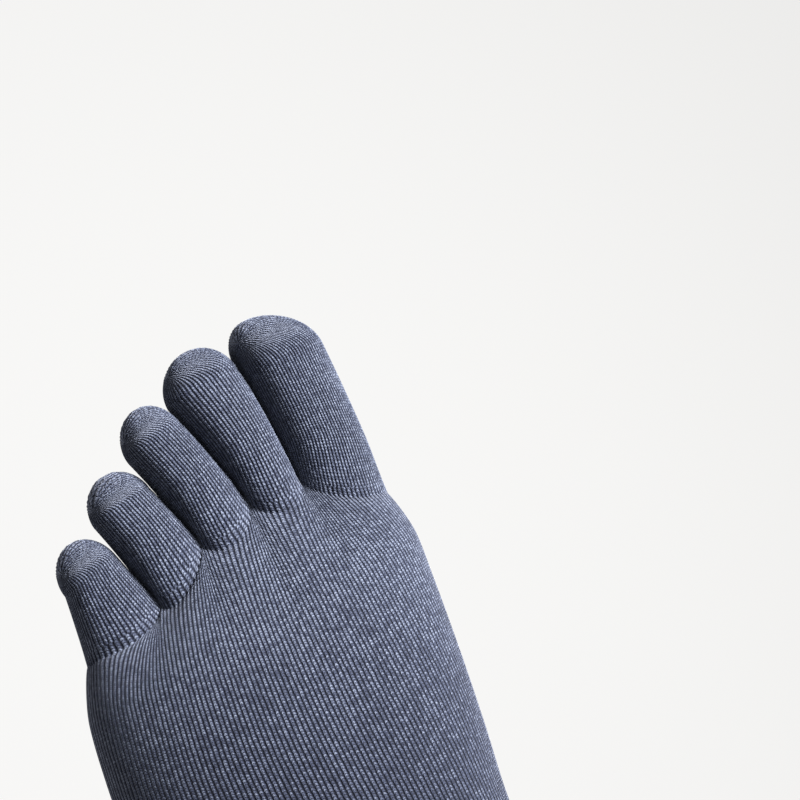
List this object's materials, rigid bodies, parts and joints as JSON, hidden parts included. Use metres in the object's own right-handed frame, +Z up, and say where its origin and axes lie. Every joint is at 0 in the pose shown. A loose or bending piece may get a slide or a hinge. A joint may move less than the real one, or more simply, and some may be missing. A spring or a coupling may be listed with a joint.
{
  "type": "toe sock",
  "caption": "Knitted toe sock in its worn form: a separate pocket for each toe, foot, heel and a short leg that ends in an open cuff.",
  "frame": {"origin": "centre of the cuff's opening, where the leg comes out", "axes": "+Y toward the toes, +Z up the leg, +X toward the big toe's side"},
  "size_m": [0.0982, 0.2544, 0.1615],
  "materials": {
    "toe_pocket_big_knit": "matte knit",
    "toe_pocket_second_knit": "matte knit",
    "toe_pocket_third_knit": "matte knit",
    "toe_pocket_fourth_knit": "matte knit",
    "toe_pocket_little_knit": "matte knit",
    "foot_tube_knit": "matte knit",
    "heel_pocket_knit": "matte knit",
    "leg_tube_knit": "matte knit",
    "cuff_knit": "matte knit"
  },
  "bodies": {
    "root": {"toe_pocket_big": "toe_pocket_big_knit", "toe_pocket_second": "toe_pocket_second_knit", "toe_pocket_third": "toe_pocket_third_knit", "toe_pocket_fourth": "toe_pocket_fourth_knit", "toe_pocket_little": "toe_pocket_little_knit", "foot_tube": "foot_tube_knit", "heel_pocket": "heel_pocket_knit", "leg_tube": "leg_tube_knit", "cuff": "cuff_knit"}
  },
  "joints": []
}
